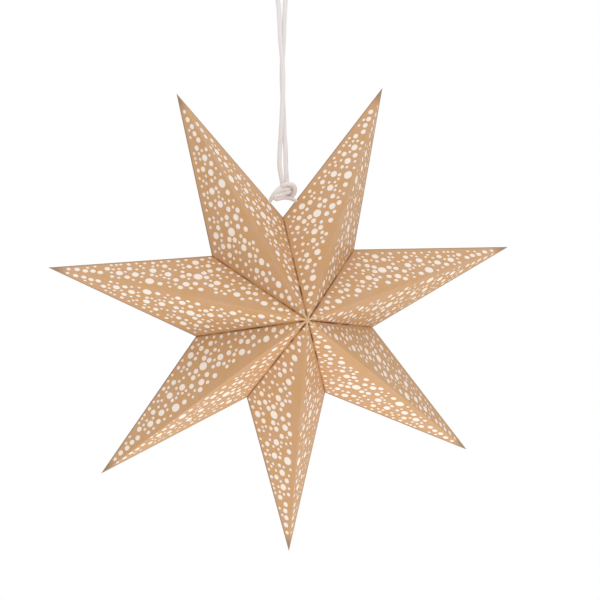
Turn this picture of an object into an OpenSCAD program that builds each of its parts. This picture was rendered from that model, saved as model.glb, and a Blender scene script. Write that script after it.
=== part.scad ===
// Seven-pointed hollow star of folded kraft card, punched with dots, lined with white paper,
// tied shut at its top notch and hung by a knotted cotton cord.
// The star stands in the XZ plane with its front to -Y. The origin is where the cord's loop hangs.

/* [Star] */
// Radius of the circle through the seven tips
tip_radius = 270; // [220:1:320]
// Radius of the circle through the seven notches
notch_radius = 104; // [85:1:125]
// Height of the front and the back apex above the middle plane
apex_height = 93; // [70:1:120]
// Distance from the hanging point down to the star's centre
star_drop = 375; // [370:1:380]

/* [Paper] */
// Thickness of the kraft card
card_t = 0.4; // [0.3:0.05:0.6]
// Thickness of the white lining paper
lining_t = 0.2; // [0.1:0.05:0.3]
// Glue line between two glued sheets
glue_gap = 0.1; // [0.06:0.02:0.2]
// Width of the glue tabs folded in along the valleys
tab_w = 9; // [6:0.5:12]
// Distance from the star's axis to where each glue tab starts
tab_start = 8; // [5:0.5:14]
// Clearance between the edge of a lining sheet and the fold beside it
lining_edge = 0.4; // [0.3:0.1:0.8]

/* [Punched dots] */
// Diameter of the extra large dots
dot_xl = 10; // [8:0.2:11]
// Diameter of the large dots
dot_l = 8; // [7:0.2:9]
// Diameter of the medium dots
dot_m = 6.4; // [5:0.2:7]
// Diameter of the small dots
dot_s = 4.8; // [4:0.2:5.4]
// Diameter of the tiny dots
dot_t = 3.8; // [3:0.2:4.4]
// Narrowest web of card between two dots
dot_web = 0.9; // [0.6:0.1:1.6]
// Shift of the dots to the clockwise side of each point, which fades out to the apex and the tip
dot_shift = 1.6; // [0:0.2:2]
// Length over which that shift fades out
shift_fade = 60; // [40:1:100]
// Least bare margin along the outer side edge of a panel
side_margin = 1; // [1:0.2:5]
// Least bare margin along the valley of a panel
valley_margin = 0.6; // [0.6:0.1:3]
// Least bare margin along the ridge, next to the tip and the apex
ridge_margin = 0.9; // [0.8:0.1:3]
// Extra width of the bare strip along the middle of the ridge
ridge_strip = 8; // [0:0.5:14]
// Distance from the apex to the widest place of that strip
strip_mid = 98; // [70:1:140]
// Length over which that strip narrows, to each side
strip_spread = 48; // [25:1:70]

/* [Hanging] */
// Diameter of the cotton cord
cord_d = 5.2; // [4:0.1:5.4]
// Diameter of the same cord where it is drawn tight through the tie holes
tie_cord_d = 4; // [3:0.1:4.4]
// Room round the cord in the tie holes
tie_clearance = 0.5; // [0.4:0.1:0.6]
// Distance of each tie hole from the top notch, along the fold
tie_distance = 23; // [22:0.5:24]
// Width of the knot
knot_w = 20; // [20:0.5:22]

/* [Hidden] */
$fn = 32;
point_count = 7;
wedge = 180 / point_count;
overcut = 0.3;

// Corners of one point, along x from the star's axis: tip, notch and front apex
shift = glue_gap / 2 / sin(wedge);
tip = [tip_radius, 0, 0];
notch = [notch_radius * cos(wedge) + shift, 0, notch_radius * sin(wedge)];
apex = [shift, -apex_height, 0];

// Frame of a panel: x along the ridge from the apex, y to the notch, z out of the card
ridge_len = norm(tip - apex);
ex = (tip - apex) / ridge_len;
ez = unit(cross(tip - apex, notch - apex));
ey = cross(ez, ex);
panel_frame = [
    [ex.x, ey.x, ez.x, apex.x],
    [ex.y, ey.y, ez.y, apex.y],
    [ex.z, ey.z, ez.z, apex.z],
    [0, 0, 0, 1]
];
panel_tip = [ridge_len, 0];
panel_notch = [(notch - apex) * ex, (notch - apex) * ey];
panel = [[0, 0], panel_tip, panel_notch];

// Corners of the hollow inside one point, one card thickness in from every outer plane
in_tip = [tip.x - card_t / ez.x, 0, 0];
in_axis = shift + card_t / sin(wedge);
in_apex = [in_axis, (ez * apex - card_t - ez.x * in_axis) / ez.y, 0];
in_notch_x = (ez * notch - card_t + ez.z * in_axis * tan(wedge)) / (ez.x + ez.z * tan(wedge));
in_notch = [in_notch_x, 0, (in_notch_x - in_axis) * tan(wedge)];

// Slope of the valleys, seen along the middle plane, and the tabs' own sizes
valley_angle = atan2(apex_height, notch_radius);
tab_root = 1;
tab_slit = 1;
slit_end = 3;

// Interior angles of the folds: half of it at a ridge and at a side fold, all of it at a valley
ridge_half = acos(ez.z);
side_half = acos(abs(ez.y));
valley_fold = 180 - acos(ez.z * cos(wedge) - ez.x * sin(wedge));

// Borders that a lining sheet leaves along the ridge, the side fold and the valley
lining_top = card_t + glue_gap;
lining_deep = lining_top + lining_t;
ridge_border = lining_deep / tan(ridge_half) + lining_edge;
side_border = lining_deep / tan(side_half) + lining_edge;
valley_reach = max(lining_top / tan(valley_fold), lining_deep / tan(valley_fold));
valley_border = card_t / sin(valley_fold) + valley_reach + lining_edge;

// Tie holes through the folds at the top notch
tie_d = tie_cord_d + 2 * tie_clearance;
fold_angle = atan2(abs(ez.y), norm([ez.x, ez.z]));
tie_border = tie_d / 2 / cos(fold_angle) + tie_clearance;

// Places of the largest dots on a panel, from the apex along the ridge and away from it
xl_spots = [[127, 33], [176, 10]];
l_spots = [[50, 12], [81, 17], [105, 29], [137, 17], [134, 55], [159, 27], [176, 28], [193, 16], [210, 13]];
// Places of the medium dots next to the apex and out to the tip
m_spots = [[31, 8], [38, 16], [224, 16], [230, 8], [238, 8], [246, 6], [255, 6]];
// Places of the small dots next to the apex and the tip
s_spots = [[24, 8.6], [39, 7], [264, 4]];
// Places of the tiny dots next to the apex
t_spots = [[12, 3.5], [21, 4]];

// Dots strung along the side edge and along the valley, and how far they stray
side_count = 20;
valley_count = 15;
edge_stray = 1.4;
// Seed of the scattered dots, and how many places are tried for each size
dot_seed = 23;
m_tries = 200;
s_tries = 150;
t_tries = 900;
big_dots = concat(sized(xl_spots, dot_xl), sized(l_spots, dot_l));
set_dots = concat(big_dots, sized(m_spots, dot_m), sized(s_spots, dot_s), sized(t_spots, dot_t));
side_dots = strung(panel_tip, panel_notch, side_count, side_margin, dot_seed + 6);
valley_dots = strung(panel_notch, [0, 0], valley_count, valley_margin, dot_seed + 7);
edge_dots = place(concat(side_dots, valley_dots), place(set_dots, []));
m_dots = place(scattered(dot_m, m_tries, dot_seed), edge_dots);
s_dots = place(scattered(dot_s, s_tries, dot_seed + 2), m_dots);
dots = place(scattered(dot_t, t_tries, dot_seed + 4), s_dots);

// Route of the hanging cord: up from the knot, round the loop's top and down again
cord_route = [
    [-0.4, 0, -232], [-0.4, 0, -229], [-1.9, 0, -221], [-2.8, 0, -212], [-2, 0, -196], [-1, -1.4, -180],
    [0.4, -2.4, -158], [2, -2.8, -130], [2.2, -2.8, -108], [1.2, -2.8, -90], [0, -2.6, -75],
    [-0.2, -1.6, -57], [-0.6, 0, -38], [-2.8, 0, -28], [-7, 0, -21], [-10.8, 0, -15], [-12, 0, -9.4],
    [-10.4, 0, -3.4], [-6, 0, 1], [0, 0, 2.6], [6, 0, 1], [10.4, 0, -3.4], [12, 0, -9.4],
    [11.6, 0, -15], [10.2, 0, -21], [8.4, 0, -28], [7, 0, -38], [6.1, 1.6, -57], [5.4, 2.6, -75],
    [4.2, 2.8, -90], [2.8, 2.8, -108], [2.8, 2.8, -130], [3.7, 2.4, -158], [3.8, 1.4, -180],
    [4.4, 0, -196], [4.4, 0, -212], [4.6, 0, -221], [5.2, 0, -229], [5.2, 0, -232]
];
// Route of the tie: from the knot in by the left hole, under the notch and out by the right hole
tie_route = [
    [-2.8, 0, -243.3], [-8.8, 0, -248.3], [-14.8, 0, -253.4], [-19, 0, -257], [-22, 0, -262.5],
    [-22.5, 0, -270], [-19, 0, -280], [-11, 0, -288], [0, 0, -291], [11, 0, -288], [19, 0, -280],
    [22.5, 0, -270], [22, 0, -262.5], [19, 0, -257], [14.8, 0, -253.4], [11.7, 0, -250.8], [8.7, 0, -248.3]
];
cord_sides = 8;

// The knot: a round body on a vertical axis, with a cone below that faces the two ends of the tie
knot_x = 5;
knot_top = -232;
knot_bottom = -250;
knot_foot = 2;
knot_slope = 50;
knot_round = 2;

function unit(v) = v / norm(v);

// Distance of p from the line through a and b, more than 0 on the left of a to b
function off_line(p, a, b) = cross(b - a, p - a) / norm(b - a);

// Corner of a triangle after the two edges that meet there move in by d0 and d1
function inset_corner(before, at, after, d0, d1) =
    let (u = unit(at - before), v = unit(after - at), turn = cross(u, v))
    at + (v * d0 - u * d1) / turn;

// Triangle p, counter-clockwise, with each edge moved in by its own border
function inset(p, d) = [for (i = [0 : 2])
    inset_corner(p[(i + 2) % 3], p[i], p[(i + 1) % 3], d[(i + 2) % 3], d[i])];

// Dots as [x, y, diameter]
function sized(spots, d) = [for (s = spots) [s.x, s.y, d]];

// Half width of the bare strip along the ridge
function bare_strip(x) = ridge_margin + ridge_strip * exp(-pow((x - strip_mid) / strip_spread, 2));

// Shift of a dot at a distance x from the apex
function shift_at(x) = dot_shift * min(1, x / shift_fade, (ridge_len - x) / shift_fade);

// Whether a dot keeps its margins on both panels of a point
function fits(dot) =
    let (r = dot.z / 2, far = [dot.x, dot.y + shift_at(dot.x)])
    dot.y - shift_at(dot.x) - r >= bare_strip(dot.x)
    && off_line(far, panel_tip, panel_notch) - r >= side_margin
    && off_line(far, panel_notch, [0, 0]) - r >= valley_margin;

function crowded(dot, placed) =
    len([for (p = placed) if (norm([dot.x - p.x, dot.y - p.y]) < (dot.z + p.z) / 2 + dot_web) p]) > 0;

// Dots of diameter d scattered over the panel
function scattered(d, tries, seed) =
    let (xs = rands(0, ridge_len, tries, seed), ys = rands(0, panel_notch.y, tries, seed + 1))
    [for (i = [0 : tries - 1]) [xs[i], ys[i], d]];

// Small and tiny dots strung along the edge from a to b, which has the panel on its left
function strung(a, b, count, margin, seed) =
    let (along = unit(b - a), inward = [-along.y, along.x], stray = rands(0, edge_stray, 2 * count, seed))
    [for (i = [0 : count - 1])
        let (d = i % 3 == 0 ? dot_s : dot_t, off = margin + dot_shift + d / 2 + stray[2 * i])
        let (at = a + (b - a) * (i + 0.5) / count + along * stray[2 * i + 1] + inward * off)
        [at.x, at.y, d]];

// Dots that are placed, and those of a list that find room among them, one after the other
function place(list, placed) =
    [for (i = 0, kept = placed; i <= len(list); kept = with_dot(list[i], kept), i = i + 1)
        if (i == len(list)) each kept];

function with_dot(dot, placed) =
    is_undef(dot.x) || !fits(dot) || crowded(dot, placed) ? placed : concat(placed, [dot]);

// Point at f on the smooth curve from b to c, with neighbours a and d
function curve_point(a, b, c, d, f) =
    b + (c - a) / 2 * f + (a - 2.5 * b + 2 * c - d / 2) * f * f + (d - a + 3 * (b - c)) / 2 * f * f * f;

function smooth(route, steps) =
    let (n = len(route) - 1)
    concat(
        [for (i = [0 : n - 1], s = [0 : steps - 1])
            curve_point(route[max(i - 1, 0)], route[i], route[i + 1], route[min(i + 2, n)], s / steps)],
        [route[n]]
    );

// Tube of a diameter along a route that lies close to the XZ plane, with flat ends
module tube(route, d, steps) {
    path = smooth(route, steps);
    n = len(path) - 1;
    side = [0, 1, 0];
    last = len(route) - 1;
    rings = [for (i = [0 : n])
        let (from = i == 0 ? route[0] : i == n ? route[last - 1] : path[i - 1])
        let (to = i == 0 ? route[1] : i == n ? route[last] : path[i + 1])
        let (along = unit(to - from))
        let (across = unit(cross(side, along)), over = cross(along, across))
        for (k = [0 : cord_sides - 1])
            path[i] + d / 2 * (across * cos(360 * k / cord_sides) + over * sin(360 * k / cord_sides))];
    walls = [for (i = [0 : n - 1], k = [0 : cord_sides - 1])
        let (a = i * cord_sides, b = a + cord_sides, next = (k + 1) % cord_sides)
        each [[a + k, b + k, b + next], [a + k, b + next, a + next]]];
    start = [for (k = [0 : cord_sides - 1]) k];
    end = [for (k = [cord_sides - 1 : -1 : 0]) n * cord_sides + k];
    polyhedron(rings, concat(walls, [start, end]), convexity = 8);
}

// Solid between the two apexes, the two notches and the tip of one point
module spindle(t, n, a) {
    polyhedron(
        [t, n, [n.x, 0, -n.z], a, [a.x, -a.y, 0]],
        [[3, 1, 0], [3, 0, 2], [4, 0, 1], [4, 2, 0], [3, 4, 1], [3, 2, 4]],
        convexity = 4
    );
}

// The children on one panel: front or back, on the side of +z or of -z
module on_panel(back, minus) {
    mirror([0, back ? 1 : 0, 0])
        mirror([0, 0, minus ? 1 : 0])
            multmatrix(panel_frame)
                children();
}

// Dots of one panel, without those at the edge of a tied one
function panel_dots(minus, tied) = [for (d = dots)
    let (at = [d.x, d.y + (minus ? shift_at(d.x) : -shift_at(d.x))])
    if (!tied || off_line(at, panel_tip, panel_notch) - d.z / 2 >= tie_border) [at.x, at.y, d.z]];

module dot_punch(minus, tied) {
    translate([0, 0, -card_t - overcut])
        linear_extrude(card_t + 2 * overcut)
            for (d = panel_dots(minus, tied))
                translate([d.x, d.y])
                    circle(d = d.z);
}

// Window between the glue tabs, drawn along the middle plane and out from the axis
module tab_window() {
    reach = notch_radius - tab_w / sin(valley_angle);
    trim = tab_start + tab_w;
    root_at = notch_radius - tab_root / sin(valley_angle);
    slope = tan(valley_angle);
    half = [
        [-tab_start, (root_at + tab_start) * slope],
        [tab_start, (root_at - tab_start) * slope],
        [trim, (reach - trim) * slope],
        [reach - tab_slit / 2 / slope, tab_slit / 2],
        [notch_radius - slit_end, tab_slit / 2]
    ];
    other_half = [for (i = [len(half) - 1 : -1 : 0]) [half[i].x, -half[i].y]];
    translate([shift, 0, 0])
        rotate([0, -wedge, 0])
            translate([0, 0, -card_t - overcut])
                linear_extrude(card_t + 2 * overcut)
                    polygon(concat(half, other_half));
}

// Tie hole through the side fold, square to the fold in the middle plane
module tie_hole() {
    fold = unit(tip - notch);
    translate(notch + fold * tie_distance)
        rotate([0, -atan2(fold.z, fold.x), 0])
            translate([0, 0, -tie_d])
                cylinder(d = tie_d, h = 2 * tie_d);
}

// Folded card of one point, with its tie hole on the side of +z, of -z or none
module point_card(tie) {
    difference() {
        spindle(tip, notch, apex);
        spindle(in_tip, in_notch, in_apex);
        tab_window();
        mirror([0, 0, 1])
            tab_window();
        for (back = [false, true], minus = [false, true])
            on_panel(back, minus)
                dot_punch(minus, is_tied(tie, minus));
        if (tie != 0)
            mirror([0, 0, tie < 0 ? 1 : 0])
                tie_hole();
    }
}

// Four lining sheets of one point, each glued behind its panel
module point_lining(tie) {
    for (back = [false, true], minus = [false, true]) {
        side = is_tied(tie, minus) ? tie_border : side_border;
        on_panel(back, minus)
            translate([0, 0, -lining_deep])
                linear_extrude(lining_t)
                    polygon(inset(panel, [ridge_border, side, valley_border]));
    }
}

// Places point i, counted clockwise from the top notch
module at_point(i) {
    translate([0, 0, -star_drop])
        rotate([0, -90 + wedge * (2 * i - 1), 0])
            children();
}

// Side of point i that is tied at the top notch, and whether a panel is on that side
function tied_side(i) = i == 1 ? 1 : i == point_count ? -1 : 0;
function is_tied(tie, minus) = tie != 0 && minus == (tie < 0);

module hanging_cord() {
    color("#e9e2dc")
        tube(cord_route, cord_d, 2);
}

module tie_cord() {
    color("#e9e2dc")
        tube(tie_route, tie_cord_d, 2);
}

module hanging_knot() {
    shoulder = knot_top - knot_round;
    rim = knot_bottom + (knot_w / 2 - knot_foot) * tan(knot_slope);
    color("#e4dcd6")
        translate([knot_x, 0, 0])
            rotate_extrude() {
                polygon([
                    [0, knot_bottom], [knot_foot, knot_bottom], [knot_w / 2, rim],
                    [knot_w / 2, shoulder], [0, shoulder]
                ]);
                translate([0, shoulder])
                    square([knot_w / 2 - knot_round, knot_round]);
                translate([knot_w / 2 - knot_round, shoulder])
                    circle(knot_round);
            }
}

for (i = [1 : point_count]) {
    color("#cda06c")
            at_point(i)
                point_card(tied_side(i));
    color("#fdf8ef")
            at_point(i)
                point_lining(tied_side(i));
}
hanging_cord();
hanging_knot();
tie_cord();
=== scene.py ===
"""Looks of a seven-pointed star of folded kraft card, hung by a knotted cotton cord.

The star's front faces -Y and the origin is where the cord's loop hangs. Sizes are in metres,
but for the cord's routes, which are in millimetres as in the part's source.
"""

import math

import bpy
from mathutils import Matrix, Vector


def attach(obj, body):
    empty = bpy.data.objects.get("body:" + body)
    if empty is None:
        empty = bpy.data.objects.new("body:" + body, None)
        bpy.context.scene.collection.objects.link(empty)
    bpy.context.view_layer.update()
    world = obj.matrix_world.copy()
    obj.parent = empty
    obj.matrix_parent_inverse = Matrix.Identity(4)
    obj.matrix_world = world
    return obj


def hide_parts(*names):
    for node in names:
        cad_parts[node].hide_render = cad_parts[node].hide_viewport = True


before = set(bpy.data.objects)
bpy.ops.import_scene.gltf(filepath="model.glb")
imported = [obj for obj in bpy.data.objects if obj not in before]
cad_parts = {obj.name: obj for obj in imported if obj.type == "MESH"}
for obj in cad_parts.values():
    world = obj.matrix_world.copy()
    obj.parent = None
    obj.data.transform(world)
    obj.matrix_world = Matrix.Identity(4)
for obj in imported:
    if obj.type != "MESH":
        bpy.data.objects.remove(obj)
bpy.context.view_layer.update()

bl_info = {
    "name": "Paper star",
    "version": (1, 0, 0),
    "blender": (4, 5, 0),
    "location": "3D View > Sidebar > Paper star",
    "description": "Finishes a hanging paper star in kraft card, lining paper and cotton cord",
    "category": "Object",
}

POINTS = 7
STAR_DROP = 0.375
CARDS = [f"point_{i}" for i in range(1, POINTS + 1)]
LININGS = [f"lining_{i}" for i in range(1, POINTS + 1)]

# Distances from the star's axis between which a painted highlight, painted shade or darkening of
# the card sets in or fades
RIDGE_HIGHLIGHT_FADE = (0.009, 0.017)
CREASE_SHADE_START = (0.002, 0.005)
CREASE_SHADE_FADE = (0.02, 0.09)
TIP_DARKENING = (0.246, 0.264)
# Depths from the star's middle plane between which the darkening of the side edges fades
EDGE_DARKENING = (0.0003, 0.0018)
# The range that most of a noise texture's values are in
NOISE_LOW = 0.3
NOISE_HIGH = 0.7

# Up from the knot, round the loop's top and down again
LOOP_ROUTE = [
    (-0.4, 0, -232), (-0.4, 0, -229), (-1.9, 0, -221), (-2.8, 0, -212), (-2, 0, -196),
    (-1, -1.4, -180), (0.4, -2.4, -158), (2, -2.8, -130), (2.2, -2.8, -108), (1.2, -2.8, -90),
    (0, -2.6, -75), (-0.2, -1.6, -57), (-0.6, 0, -38), (-2.8, 0, -28), (-7, 0, -21),
    (-10.8, 0, -15), (-12, 0, -9.4), (-10.4, 0, -3.4), (-6, 0, 1), (0, 0, 2.6), (6, 0, 1),
    (10.4, 0, -3.4), (12, 0, -9.4), (11.6, 0, -15), (10.2, 0, -21), (8.4, 0, -28), (7, 0, -38),
    (6.1, 1.6, -57), (5.4, 2.6, -75), (4.2, 2.8, -90), (2.8, 2.8, -108), (2.8, 2.8, -130),
    (3.7, 2.4, -158), (3.8, 1.4, -180), (4.4, 0, -196), (4.4, 0, -212), (4.6, 0, -221),
    (5.2, 0, -229), (5.2, 0, -232),
]
# The middle of the two strands through the knot, from where they come down into it
KNOT_ROUTE = [
    (2.4, 0, -229), (2.6, 0.2, -233), (3.2, 2.4, -239), (6.4, 4, -244.8), (10.6, 1.8, -245.8),
    (12.2, -1.8, -241), (10.2, -4.6, -235.8), (5, -5.4, -234.2), (0.6, -3.2, -235.6),
    (0.2, 2.2, -239), (5, 1.6, -240.2), (7.4, -2.4, -240.6), (4.2, -5, -241.4),
    (-1.2, -3.8, -242.6), (-5.4, -2.4, -244.6),
]
# From the knot into the left hole, under the notch, out of the right hole and back to the knot
TIE_ROUTE = [
    (0, -2, -237), (-4.4, -2.6, -239.4), (-9.2, -2.4, -244), (-12.6, -1.2, -249.2),
    (-14.8, 0, -253.4), (-19, 0, -257), (-22, 0, -262.5), (-22.5, 0, -270), (-19, 0, -280),
    (-11, 0, -288), (0, 0, -291), (11, 0, -288), (19, 0, -280), (22.5, 0, -270),
    (22, 0, -262.5), (19, 0, -257), (14.8, 0, -253.4), (10, -0.6, -250.8), (3, -1.8, -249.2),
    (-3, -3, -249.6), (-7.6, -3.4, -250.6), (-9.6, -3.6, -249), (-7.8, -3.8, -247),
    (-2, -3.6, -246.4), (3, -3.2, -245.4),
]
# Parts of the smooth curve between two points of a route
ROUTE_PARTS = 24
# Distances between the rings of the cord's meshes, and Blender's fineness of a ring
LOOP_STEP = 0.002
KNOT_STEP = 0.0008
TIE_STEP = 0.0012
RING_FINENESS = 4
# Distance between the knot's two strands at its top and inside it, and the rings between these
KNOT_TOP_GAP = 0.0056
KNOT_GAP = 0.0042
KNOT_GAP_RINGS = 8
# Height of the tie holes, and of the length above them over which the cord swells again
HOLE_HEIGHT = -0.2534
SWELL_RUN = 0.006
# Plaits that cross each other round the cord
PLAITS_ROUND = 4

# The camera sees the star a little from its left and from above, with a slight roll, in degrees
CAMERA_TURN = 15.88
CAMERA_TILT = 6.17
CAMERA_ROLL = -1.03
# The camera's place to the right of the star's centre and above it, in its own view
CAMERA_RIGHT = 0.0171
CAMERA_UP = 0.0122
SENSOR_WIDTH = 36
# Each lamp's distance from the star's centre and the way to it, and the lamps' width as a share
# of that distance
TOP_LAMP_GAP = 1.6
TOP_LAMP_WAY = (-0.03, -0.35, 0.93)
LOW_LAMP_GAP = 1.1
LOW_LAMP_WAY = (0.03, -0.5, -0.86)
LAMP_WIDTH = 0.9
FLOOR_RADIUS = 3.2
FLOOR_SIDES = 96
FLOOR_GRAIN = 1 / 30

# Kinds of node that are used often, and the sockets of a colour mix
MATH = "ShaderNodeMath"
RANGE = "ShaderNodeMapRange"
NOISE = "ShaderNodeTexNoise"
MIX = "ShaderNodeMix"
MIX_SHARE = 0
MIX_FIRST = 6
MIX_SECOND = 7
MIX_RESULT = 2


def linear(code):
    """Linear colour, with alpha, of an sRGB hex value."""
    parts = [int(code[i : i + 2], 16) / 255 for i in (1, 3, 5)]
    return (*(c / 12.92 if c <= 0.04045 else ((c + 0.055) / 1.055) ** 2.4 for c in parts), 1.0)


class CardLook(bpy.types.PropertyGroup):
    """Kraft card of the seven points"""

    colour: bpy.props.FloatVectorProperty(
        name="Card", description="Colour of the flat card",
        subtype="COLOR", size=4, min=0, max=1, default=linear("#daaa75"),
    )
    pulp_colour: bpy.props.FloatVectorProperty(
        name="Pulp", description="Colour of the greyer clouds in the card",
        subtype="COLOR", size=4, min=0, max=1, default=linear("#d5a980"),
    )
    # Colour of the painted shade deep in a valley, where two points meet
    crease_shade_colour: bpy.props.FloatVectorProperty(
        name="Crease", description="Colour deep in the valley between two points",
        subtype="COLOR", size=4, min=0, max=1, default=linear("#6c3006"),
    )
    # The ridges' colour is a painted highlight, standing in for light caught on the folds
    ridge_highlight_colour: bpy.props.FloatVectorProperty(
        name="Fold", description="Colour of the stretched fibres on the ridges",
        subtype="COLOR", size=4, min=0, max=1, default=linear("#ecc9a0"),
    )
    # A darker colour along the side folds and towards the tips
    edge_colour: bpy.props.FloatVectorProperty(
        name="Rubbed edge", description="Colour of the handled side folds and tips",
        subtype="COLOR", size=4, min=0, max=1, default=linear("#927763"),
    )
    # Half width of the painted shade in a valley
    crease_shade: bpy.props.FloatProperty(
        name="Crease width", description="Half width of the dark line in a valley",
        unit="LENGTH", default=0.0014, min=0.0001, max=0.005, precision=4,
    )
    # Half width of the painted highlight on a ridge
    ridge_highlight_width: bpy.props.FloatProperty(
        name="Fold width", description="Half width of the pale line on a ridge",
        unit="LENGTH", default=0.0012, min=0.0001, max=0.005, precision=4,
    )
    fibre: bpy.props.FloatProperty(
        name="Fibre size", description="Size of the fibre flecks",
        unit="LENGTH", default=0.0014, min=0.0002, max=0.01, precision=4,
    )
    cloud: bpy.props.FloatProperty(
        name="Cloud size", description="Size of the soft clouding in the card",
        unit="LENGTH", default=0.018, min=0.002, max=0.1, precision=4,
    )


class LiningLook(bpy.types.PropertyGroup):
    """White lining paper behind the dots"""

    colour: bpy.props.FloatVectorProperty(
        name="Paper", description="Colour of the lining paper",
        subtype="COLOR", size=4, min=0, max=1, default=linear("#fbf2e7"),
    )
    fibre: bpy.props.FloatProperty(
        name="Fibre size", description="Size of the paper's fibres",
        unit="LENGTH", default=0.0012, min=0.0002, max=0.01, precision=4,
    )
    # A painted glow: the paper gives off light of its own, though it is no lamp
    painted_glow: bpy.props.FloatProperty(
        name="Brightener", description="Light that the paper's whitener gives back",
        default=0.09, min=0, max=0.3,
    )


class CordLook(bpy.types.PropertyGroup):
    """Braided cotton cord"""

    colour: bpy.props.FloatVectorProperty(
        name="Cotton", description="Colour of the cotton",
        subtype="COLOR", size=4, min=0, max=1, default=linear("#fcf6f5"),
    )
    # Colour of the painted shade in the grooves between the plaits
    groove_shade_colour: bpy.props.FloatVectorProperty(
        name="Groove", description="Colour between the plaits",
        subtype="COLOR", size=4, min=0, max=1, default=linear("#f0e7e6"),
    )
    diameter: bpy.props.FloatProperty(
        name="Diameter", description="Diameter of the cord",
        unit="LENGTH", default=0.0052, min=0.001, max=0.01, precision=4,
    )
    knot_diameter: bpy.props.FloatProperty(
        name="In the knot", description="Diameter of a strand pressed in the knot",
        unit="LENGTH", default=0.005, min=0.001, max=0.01, precision=4,
    )
    tie_diameter: bpy.props.FloatProperty(
        name="In the holes", description="Diameter of the strand drawn tight through the holes",
        unit="LENGTH", default=0.0038, min=0.001, max=0.01, precision=4,
    )
    plait: bpy.props.FloatProperty(
        name="Plait length", description="Length of one plait along the cord",
        unit="LENGTH", default=0.0032, min=0.0005, max=0.02, precision=4,
    )


class StageLook(bpy.types.PropertyGroup):
    """Camera, lamps and floor"""

    distance: bpy.props.FloatProperty(
        name="Camera distance", description="From the camera to the star's centre",
        unit="LENGTH", default=3.0, min=0.5, max=10,
    )
    lens: bpy.props.FloatProperty(
        name="Lens", description="Focal length of the camera",
        unit="CAMERA", default=162.76, min=20, max=400,
    )
    floor: bpy.props.FloatProperty(
        name="Floor", description="Height of the floor",
        unit="LENGTH", default=-1.95, min=-3, max=-0.7,
    )
    ambient: bpy.props.FloatProperty(
        name="Room light", description="Strength of the even light of the room",
        default=0.725, min=0, max=2,
    )
    top: bpy.props.FloatProperty(
        name="Top lamp", description="Share of full light from the upper lamp",
        default=0.2, min=0, max=2,
    )
    low: bpy.props.FloatProperty(
        name="Low lamp", description="Share of full light from the lower lamp",
        default=0.37, min=0, max=2,
    )
    floor_colour: bpy.props.FloatVectorProperty(
        name="Floor colour", description="Colour of the floor",
        subtype="COLOR", size=4, min=0, max=1, default=linear("#f4f3f1"),
    )


class StarLook(bpy.types.PropertyGroup):
    """All that a user would change"""

    card: bpy.props.PointerProperty(type=CardLook)
    lining: bpy.props.PointerProperty(type=LiningLook)
    cord: bpy.props.PointerProperty(type=CordLook)
    stage: bpy.props.PointerProperty(type=StageLook)


def add_node(tree, kind, inputs=(), **settings):
    """Adds a node with its settings; an input is a value or the output that is linked to it."""
    made = tree.nodes.new(kind)
    for name, value in settings.items():
        setattr(made, name, value)
    for socket, value in dict(inputs).items():
        if isinstance(value, bpy.types.NodeSocket):
            tree.links.new(value, made.inputs[socket])
        else:
            made.inputs[socket].default_value = value
    return made


def new_material(name):
    made = bpy.data.materials.new(name)
    made.use_nodes = True
    made.node_tree.nodes.clear()
    return made, made.node_tree


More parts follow.
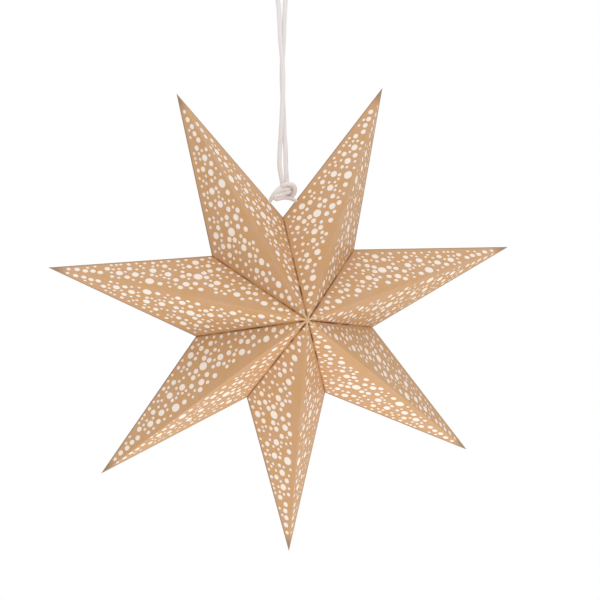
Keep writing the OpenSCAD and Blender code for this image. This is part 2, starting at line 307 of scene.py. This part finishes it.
def kraft_card(look):
    """Uncoated kraft card, die-cut, scored and folded.

    The eye gets a matt warm tan with soft clouding and short fibres, a painted highlight on the
    ridges, painted shade where two folded edges meet in a valley, and darker side folds and tips.
    """
    made, tree = new_material("kraft_card_scored")
    place = add_node(tree, "ShaderNodeTexCoord").outputs["Object"]
    at = add_node(tree, "ShaderNodeSeparateXYZ", {0: place})
    x = at.outputs["X"]
    height = add_node(tree, MATH, {0: at.outputs["Z"], 1: STAR_DROP}, operation="ADD").outputs[0]
    depth = add_node(tree, MATH, {0: at.outputs["Y"]}, operation="ABSOLUTE").outputs[0]

    # Angle round the star's axis: 0 on a ridge and half a point's angle in a valley
    turn = add_node(tree, MATH, {0: x, 1: height}, operation="ARCTAN2").outputs[0]
    turn = add_node(tree, MATH, {0: turn, 1: POINTS / math.tau}, operation="MULTIPLY").outputs[0]
    turn = add_node(tree, MATH, {0: turn}, operation="FRACT").outputs[0]
    turn = add_node(tree, MATH, {0: turn, 1: 0.5}, operation="SUBTRACT").outputs[0]
    turn = add_node(tree, MATH, {0: turn}, operation="ABSOLUTE").outputs[0]
    from_ridge = add_node(
        tree, MATH, {0: turn, 1: math.tau / POINTS}, operation="MULTIPLY"
    ).outputs[0]
    from_valley = add_node(
        tree, MATH, {0: math.pi / POINTS, 1: from_ridge}, operation="SUBTRACT"
    ).outputs[0]

    # Distances, seen from the front, from the axis, from the next ridge and from the next valley
    flat_place = add_node(tree, "ShaderNodeCombineXYZ", {0: x, 1: height}).outputs[0]
    reach = add_node(
        tree, "ShaderNodeVectorMath", {0: flat_place}, operation="LENGTH"
    ).outputs["Value"]
    ridge_sine = add_node(tree, MATH, {0: from_ridge}, operation="SINE").outputs[0]
    valley_sine = add_node(tree, MATH, {0: from_valley}, operation="SINE").outputs[0]
    ridge_gap = add_node(tree, MATH, {0: reach, 1: ridge_sine}, operation="MULTIPLY").outputs[0]
    valley_gap = add_node(tree, MATH, {0: reach, 1: valley_sine}, operation="MULTIPLY").outputs[0]

    # Clouds of greyer pulp, and fibres
    clouds = add_node(
        tree, NOISE, {"Vector": place, "Scale": 1 / look.cloud, "Detail": 3.0}
    ).outputs["Fac"]
    fibres = add_node(
        tree, NOISE,
        {
            "Vector": place, "Scale": 1 / look.fibre, "Detail": 4.0,
            "Roughness": 0.65, "Distortion": 2.0,
        },
    ).outputs["Fac"]
    cloud_tone = add_node(
        tree, RANGE,
        {
            "Value": clouds, "From Min": NOISE_LOW, "From Max": NOISE_HIGH,
            "To Min": 0.96, "To Max": 1.04,
        },
    ).outputs[0]
    fibre_tone = add_node(
        tree, RANGE,
        {
            "Value": fibres, "From Min": NOISE_LOW, "From Max": NOISE_HIGH,
            "To Min": 0.93, "To Max": 1.06,
        },
    ).outputs[0]
    tone = add_node(tree, MATH, {0: cloud_tone, 1: fibre_tone}, operation="MULTIPLY").outputs[0]
    pulp = add_node(
        tree, RANGE, {"Value": clouds, "From Min": 0.38, "From Max": 0.62}
    ).outputs[0]
    colour = add_node(
        tree, MIX, {MIX_SHARE: pulp, MIX_FIRST: look.colour, MIX_SECOND: look.pulp_colour},
        data_type="RGBA",
    ).outputs[MIX_RESULT]
    colour = add_node(
        tree, "ShaderNodeVectorMath", {0: colour, "Scale": tone}, operation="SCALE"
    ).outputs[0]

    # Painted highlight on the ridges, strongest where the seven of them meet
    ridge = add_node(
        tree, RANGE,
        {
            "Value": ridge_gap, "From Min": 0.4 * look.ridge_highlight_width, "From Max": look.ridge_highlight_width,
            "To Min": 1.0, "To Max": 0.0,
        },
        interpolation_type="SMOOTHSTEP",
    ).outputs[0]
    ridge_highlight_fade = add_node(
        tree, RANGE,
        {
            "Value": reach, "From Min": RIDGE_HIGHLIGHT_FADE[0], "From Max": RIDGE_HIGHLIGHT_FADE[1],
            "To Min": 0.95, "To Max": 0.06,
        },
        interpolation_type="SMOOTHSTEP",
    ).outputs[0]
    # The ridge mask carries the painted highlight
    ridge = add_node(tree, MATH, {0: ridge, 1: ridge_highlight_fade}, operation="MULTIPLY").outputs[0]
    colour = add_node(
        tree, MIX, {MIX_SHARE: ridge, MIX_FIRST: colour, MIX_SECOND: look.ridge_highlight_colour},
        data_type="RGBA",
    ).outputs[MIX_RESULT]

    # Painted shade in the valleys, strongest near the star's middle and broken by the clouds
    crease_shade = add_node(
        tree, RANGE,
        {
            "Value": valley_gap, "From Min": 0.2 * look.crease_shade, "From Max": look.crease_shade,
            "To Min": 1.0, "To Max": 0.0,
        },
        interpolation_type="SMOOTHSTEP",
    ).outputs[0]
    crease_shade_fade = add_node(
        tree, RANGE,
        {
            "Value": reach, "From Min": CREASE_SHADE_FADE[0], "From Max": CREASE_SHADE_FADE[1],
            "To Min": 1.0, "To Max": 0.6,
        },
        interpolation_type="SMOOTHSTEP",
    ).outputs[0]
    crease_shade_start = add_node(
        tree, RANGE,
        {"Value": reach, "From Min": CREASE_SHADE_START[0], "From Max": CREASE_SHADE_START[1]},
    ).outputs[0]
    # The clouds break up the painted shade, which is not wear
    crease_shade_breaks = add_node(
        tree, RANGE,
        {
            "Value": clouds, "From Min": 0.43, "From Max": 0.55,
            "To Min": 0.25, "To Max": 1.0,
        },
    ).outputs[0]
    for share in (crease_shade_fade, crease_shade_start, crease_shade_breaks):
        crease_shade = add_node(tree, MATH, {0: crease_shade, 1: share}, operation="MULTIPLY").outputs[0]
    colour = add_node(
        tree, MIX, {MIX_SHARE: crease_shade, MIX_FIRST: colour, MIX_SECOND: look.crease_shade_colour},
        data_type="RGBA",
    ).outputs[MIX_RESULT]

    # Darker side folds and tips
    edge = add_node(
        tree, RANGE,
        {
            "Value": depth, "From Min": EDGE_DARKENING[0], "From Max": EDGE_DARKENING[1],
            "To Min": 0.75, "To Max": 0.0,
        },
        interpolation_type="SMOOTHSTEP",
    ).outputs[0]
    tip = add_node(
        tree, RANGE,
        {
            "Value": reach, "From Min": TIP_DARKENING[0], "From Max": TIP_DARKENING[1],
            "To Min": 0.0, "To Max": 0.75,
        },
        interpolation_type="SMOOTHSTEP",
    ).outputs[0]
    darkened = add_node(tree, MATH, {0: edge, 1: tip}, operation="MAXIMUM").outputs[0]
    colour = add_node(
        tree, MIX, {MIX_SHARE: darkened, MIX_FIRST: colour, MIX_SECOND: look.edge_colour},
        data_type="RGBA",
    ).outputs[MIX_RESULT]

    rough = add_node(
        tree, RANGE,
        {
            "Value": fibres, "From Min": NOISE_LOW, "From Max": NOISE_HIGH,
            "To Min": 0.4, "To Max": 0.58,
        },
    ).outputs[0]
    bump = add_node(
        tree, "ShaderNodeBump", {"Height": fibres, "Strength": 0.25, "Distance": 0.00008}
    ).outputs[0]
    shade = add_node(
        tree, "ShaderNodeBsdfPrincipled",
        {
            "Base Color": colour, "Roughness": rough, "IOR": 1.46,
            "Specular IOR Level": 0.5, "Normal": bump,
        },
    ).outputs[0]
    add_node(tree, "ShaderNodeOutputMaterial", {"Surface": shade})
    return made


def lining_paper(look):
    """Thin white paper, uncoated, with a painted glow that keeps it bright in shade.

    The eye gets a bright matt white with fibres so fine that they only break its flatness.
    """
    made, tree = new_material("lining_paper_white")
    place = add_node(tree, "ShaderNodeTexCoord").outputs["Object"]
    fibres = add_node(
        tree, NOISE,
        {
            "Vector": place, "Scale": 1 / look.fibre, "Detail": 4.0,
            "Roughness": 0.6, "Distortion": 1.5,
        },
    ).outputs["Fac"]
    tone = add_node(
        tree, RANGE,
        {
            "Value": fibres, "From Min": NOISE_LOW, "From Max": NOISE_HIGH,
            "To Min": 0.97, "To Max": 1.0,
        },
    ).outputs[0]
    colour = add_node(
        tree, "ShaderNodeVectorMath", {0: look.colour[:3], "Scale": tone}, operation="SCALE"
    ).outputs[0]
    bump = add_node(
        tree, "ShaderNodeBump", {"Height": fibres, "Strength": 0.15, "Distance": 0.00005}
    ).outputs[0]
    shade = add_node(
        tree, "ShaderNodeBsdfPrincipled",
        {
            "Base Color": colour, "Roughness": 0.9, "IOR": 1.46, "Specular IOR Level": 0.2,
            # The emission is a painted glow that keeps the white even where the paper is in shade
            "Normal": bump, "Emission Color": look.colour, "Emission Strength": look.painted_glow,
        },
    ).outputs[0]
    add_node(tree, "ShaderNodeOutputMaterial", {"Surface": shade})
    return made


def cotton_cord(look, name, length):
    """Soft braided cotton cord, of which length is the length that the UV map runs along.

    The eye gets an off-white matt cord whose plaits cross in small diamonds, with painted shade
    in the grooves between them.
    """
    made, tree = new_material(f"cotton_cord_{name}")
    place = add_node(tree, "ShaderNodeTexCoord").outputs["UV"]
    at = add_node(tree, "ShaderNodeSeparateXYZ", {0: place})
    along = add_node(
        tree, MATH, {0: at.outputs["X"], 1: math.tau * length / look.plait}, operation="MULTIPLY"
    ).outputs[0]
    around = add_node(
        tree, MATH, {0: at.outputs["Y"], 1: math.tau * PLAITS_ROUND}, operation="MULTIPLY"
    ).outputs[0]
    left = add_node(tree, MATH, {0: along, 1: around}, operation="ADD").outputs[0]
    right = add_node(tree, MATH, {0: along, 1: around}, operation="SUBTRACT").outputs[0]
    left = add_node(tree, MATH, {0: left}, operation="SINE").outputs[0]
    right = add_node(tree, MATH, {0: right}, operation="SINE").outputs[0]
    plaits = add_node(tree, MATH, {0: left, 1: right}, operation="MAXIMUM").outputs[0]
    raised = add_node(
        tree, RANGE, {"Value": plaits, "From Min": -0.7, "From Max": 0.4}
    ).outputs[0]
    # The grooves get a darker colour: painted shade between the plaits
    colour = add_node(
        tree, MIX, {MIX_SHARE: raised, MIX_FIRST: look.groove_shade_colour, MIX_SECOND: look.colour},
        data_type="RGBA",
    ).outputs[MIX_RESULT]
    bump = add_node(
        tree, "ShaderNodeBump", {"Height": plaits, "Strength": 0.5, "Distance": 0.0003}
    ).outputs[0]
    shade = add_node(
        tree, "ShaderNodeBsdfPrincipled",
        {
            "Base Color": colour, "Roughness": 0.9, "Specular IOR Level": 0.2, "Normal": bump,
            "Sheen Weight": 0.3, "Sheen Roughness": 0.5,
        },
    ).outputs[0]
    add_node(tree, "ShaderNodeOutputMaterial", {"Surface": shade})
    return made


def floor_paint(look):
    """Painted plaster, rolled: pale and matt, so that the eye gets only a soft shadow on it."""
    made, tree = new_material("floor_paint")
    place = add_node(tree, "ShaderNodeTexCoord").outputs["Object"]
    grain = add_node(
        tree, NOISE, {"Vector": place, "Scale": 1 / FLOOR_GRAIN, "Detail": 3.0}
    ).outputs["Fac"]
    rough = add_node(tree, RANGE, {"Value": grain, "To Min": 0.8, "To Max": 0.95}).outputs[0]
    shade = add_node(
        tree, "ShaderNodeBsdfPrincipled",
        {"Base Color": look.floor_colour, "Roughness": rough, "Specular IOR Level": 0.1},
    ).outputs[0]
    add_node(tree, "ShaderNodeOutputMaterial", {"Surface": shade})
    return made


def dress(names, material):
    """Gives the CAD nodes of these names one material."""
    for name in names:
        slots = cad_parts[name].data.materials
        slots.clear()
        slots.append(material)


def metres(route):
    return [Vector(p) / 1000 for p in route]


def smooth(route, step):
    """Points a step apart on the smooth curve through a route."""
    ends = [2 * route[0] - route[1], *route, 2 * route[-1] - route[-2]]
    fine = []
    for a, b, c, d in zip(ends, ends[1:], ends[2:], ends[3:]):
        slope = (c - a) / 2
        bend = a - 2.5 * b + 2 * c - d / 2
        twist = (d - a + 3 * (b - c)) / 2
        for i in range(ROUTE_PARTS):
            f = i / ROUTE_PARTS
            fine.append(b + slope * f + bend * f * f + twist * f**3)
    fine.append(route[-1])
    sums = [0.0]
    for a, b in zip(fine, fine[1:]):
        sums.append(sums[-1] + (b - a).length)
    count = max(2, round(sums[-1] / step))
    made, k = [], 0
    for i in range(count + 1):
        want = sums[-1] * i / count
        while k < len(fine) - 2 and sums[k + 1] < want:
            k += 1
        span = sums[k + 1] - sums[k]
        made.append(fine[k].lerp(fine[k + 1], (want - sums[k]) / span if span else 0))
    return made


def path_length(path):
    return sum((b - a).length for a, b in zip(path, path[1:]))


def twin(path, start_gap, gap, run):
    """Two lines side by side along a path.

    They start with start_gap between them in X, and it narrows to gap over run points.
    """
    across = Vector((1, 0, 0))
    along = (path[1] - path[0]).normalized()
    pair = ([], [])
    for i, p in enumerate(path):
        new = (path[min(i + 1, len(path) - 1)] - path[max(i - 1, 0)]).normalized()
        across = along.rotation_difference(new) @ across
        across = (across - new * across.dot(new)).normalized()
        along = new
        half = (gap + (start_gap - gap) * max(0, 1 - i / run)) / 2
        pair[0].append(p - across * half)
        pair[1].append(p + across * half)
    return pair


def cord_tube(name, path, diameter, swell=None):
    """Round tube along a path, as a mesh whose UV map runs along and round it.

    swell gives a factor of the diameter for each point of the path.
    """
    bpy.ops.object.select_all(action="DESELECT")
    bpy.ops.curve.primitive_nurbs_path_add()
    made = bpy.context.object
    made.name = made.data.name = name
    line = made.data
    line.splines.clear()
    spline = line.splines.new("POLY")
    spline.points.add(len(path) - 1)
    for point, p, factor in zip(spline.points, path, swell or [1.0] * len(path)):
        point.co = (*p, 1)
        point.radius = factor
    line.twist_mode = "MINIMUM"
    line.bevel_depth = diameter / 2
    line.bevel_resolution = RING_FINENESS
    line.use_fill_caps = True
    made.location = (0, 0, 0)
    bpy.ops.object.convert(target="MESH")
    bpy.ops.object.shade_smooth()
    return bpy.context.object


class STAR_OT_cards(bpy.types.Operator):
    """Finish the seven folded points in kraft card"""

    bl_idname = "paper_star.cards"
    bl_label = "Kraft card points"

    def execute(self, context):
        dress(CARDS, kraft_card(context.scene.paper_star.card))
        return {"FINISHED"}


class STAR_OT_linings(bpy.types.Operator):
    """Finish the lining sheets in white paper"""

    bl_idname = "paper_star.linings"
    bl_label = "Lining paper"

    def execute(self, context):
        dress(LININGS, lining_paper(context.scene.paper_star.lining))
        return {"FINISHED"}


class STAR_OT_cord(bpy.types.Operator):
    """Model the hanging loop, its knot and the tie below it as one cotton cord"""

    bl_idname = "paper_star.cord"
    bl_label = "Cotton cord"

    def execute(self, context):
        look = context.scene.paper_star.cord
        path = smooth(metres(LOOP_ROUTE), LOOP_STEP)
        length = path_length(path)
        loop = cord_tube("cord_loop", path, look.diameter)
        loop.data.materials.append(cotton_cord(look, "loop", length))

        knot_path = smooth(metres(KNOT_ROUTE), KNOT_STEP)
        strands = []
        for side, line in zip("ab", twin(knot_path, KNOT_TOP_GAP, KNOT_GAP, KNOT_GAP_RINGS)):
            strands.append(cord_tube(f"cord_knot_{side}", line, look.knot_diameter))
        bpy.ops.object.select_all(action="DESELECT")
        for strand in strands:
            strand.select_set(True)
        context.view_layer.objects.active = strands[0]
        bpy.ops.object.join()
        knot = context.object
        knot.name = knot.data.name = "cord_knot"
        knot.data.materials.append(cotton_cord(look, "knot", path_length(knot_path)))

        # The tie is drawn thin in the holes and below them, and swells to a free strand above them
        tie_path = smooth(metres(TIE_ROUTE), TIE_STEP)
        more = look.knot_diameter / look.tie_diameter - 1
        swell = [1 + more * min(1, max(0, (p.z - HOLE_HEIGHT) / SWELL_RUN)) for p in tie_path]
        tie = cord_tube("cord_tie", tie_path, look.tie_diameter, swell)
        tie.data.materials.append(cotton_cord(look, "tie", path_length(tie_path)))

        for piece, node in ((loop, "hanging_cord"), (knot, "hanging_knot"), (tie, "tie_cord")):
            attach(piece, "root")
            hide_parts(node)
        return {"FINISHED"}


class STAR_OT_stage(bpy.types.Operator):
    """Set up the camera, the lamps, the white surroundings and the floor"""

    bl_idname = "paper_star.stage"
    bl_label = "Stage"

    def execute(self, context):
        look = context.scene.paper_star.stage
        scene = context.scene
        scene.view_settings.view_transform = "Standard"
        centre = Vector((0, 0, -STAR_DROP))

        turn = (
            Matrix.Rotation(math.radians(CAMERA_TILT), 3, "X")
            @ Matrix.Rotation(math.radians(CAMERA_TURN), 3, "Z")
            @ Matrix.Rotation(math.radians(CAMERA_ROLL), 3, "Y")
        ).transposed()
        right, ahead, up = (turn @ Vector(v) for v in ((1, 0, 0), (0, 1, 0), (0, 0, 1)))
        camera = bpy.data.objects.new("camera", bpy.data.cameras.new("camera"))
        scene.collection.objects.link(camera)
        camera.data.lens = look.lens
        camera.data.sensor_width = SENSOR_WIDTH
        camera.matrix_world = Matrix.Translation(
            centre + turn @ Vector((CAMERA_RIGHT, -look.distance, CAMERA_UP))
        ) @ Matrix((right, up, -ahead)).transposed().to_4x4()
        scene.camera = camera

        for name, share, gap, way in (
            ("top_lamp", look.top, TOP_LAMP_GAP, TOP_LAMP_WAY),
            ("low_lamp", look.low, LOW_LAMP_GAP, LOW_LAMP_WAY),
        ):
            lamp = bpy.data.objects.new(name, bpy.data.lights.new(name, "AREA"))
            scene.collection.objects.link(lamp)
            lamp.data.shape = "DISK"
            lamp.data.size = LAMP_WIDTH * gap
            # A white sheet that faces the lamp renders at about this share of full white
            lamp.data.energy = share * math.pi**2 * gap**2
            away = Vector(way).normalized()
            lamp.location = centre + away * gap
            lamp.rotation_mode = "QUATERNION"
            lamp.rotation_quaternion = away.to_track_quat("Z", "Y")
            lamp.visible_camera = False

        # An even room, which is plain white where it is seen or mirrored
        world = bpy.data.worlds.new("white_room")
        world.use_nodes = True
        tree = world.node_tree
        tree.nodes.clear()
        rays = add_node(tree, "ShaderNodeLightPath").outputs
        seen = add_node(
            tree, MATH, {0: rays["Is Camera Ray"], 1: rays["Is Glossy Ray"]}, operation="MAXIMUM"
        ).outputs[0]
        seen = add_node(
            tree, MATH, {0: seen, 1: rays["Is Transmission Ray"]}, operation="MAXIMUM"
        ).outputs[0]
        white = linear("#ffffff")
        room = add_node(tree, "ShaderNodeBackground", {0: white, 1: look.ambient}).outputs[0]
        backdrop = add_node(tree, "ShaderNodeBackground", {0: white, 1: 1.0}).outputs[0]
        both = add_node(tree, "ShaderNodeMixShader", {0: seen, 1: room, 2: backdrop}).outputs[0]
        add_node(tree, "ShaderNodeOutputWorld", {0: both})
        scene.world = world

        bpy.ops.object.select_all(action="DESELECT")
        bpy.ops.mesh.primitive_circle_add(
            vertices=FLOOR_SIDES, radius=FLOOR_RADIUS, fill_type="NGON", location=(0, 0, look.floor)
        )
        floor = context.object
        floor.name = floor.data.name = "floor"
        bpy.ops.object.transform_apply(location=True, rotation=True, scale=True)
        floor.data.materials.append(floor_paint(look))
        return {"FINISHED"}


class STAR_PT_panel(bpy.types.Panel):
    """Lists the star's pieces and their looks"""

    bl_idname = "STAR_PT_panel"
    bl_label = "Paper star"
    bl_space_type = "VIEW_3D"
    bl_region_type = "UI"
    bl_category = "Paper star"

    def draw(self, context):
        looks = context.scene.paper_star
        for title, look, kind in (
            ("Stage", looks.stage, STAR_OT_stage),
            ("Cord", looks.cord, STAR_OT_cord),
            ("Card", looks.card, STAR_OT_cards),
            ("Lining", looks.lining, STAR_OT_linings),
        ):
            box = self.layout.box()
            box.label(text=title)
            for name in look.__annotations__:
                box.prop(look, name)
            box.operator(kind.bl_idname)


CLASSES = (
    CardLook, LiningLook, CordLook, StageLook, StarLook,
    STAR_OT_cards, STAR_OT_linings, STAR_OT_cord, STAR_OT_stage, STAR_PT_panel,
)


def register():
    for kind in CLASSES:
        bpy.utils.register_class(kind)
    bpy.types.Scene.paper_star = bpy.props.PointerProperty(type=StarLook)


def unregister():
    del bpy.types.Scene.paper_star
    for kind in reversed(CLASSES):
        bpy.utils.unregister_class(kind)


def main():
    register()
    bpy.ops.paper_star.stage()
    bpy.ops.paper_star.cord()
    bpy.ops.paper_star.cards()
    bpy.ops.paper_star.linings()


if __name__ == "__main__":
    main()
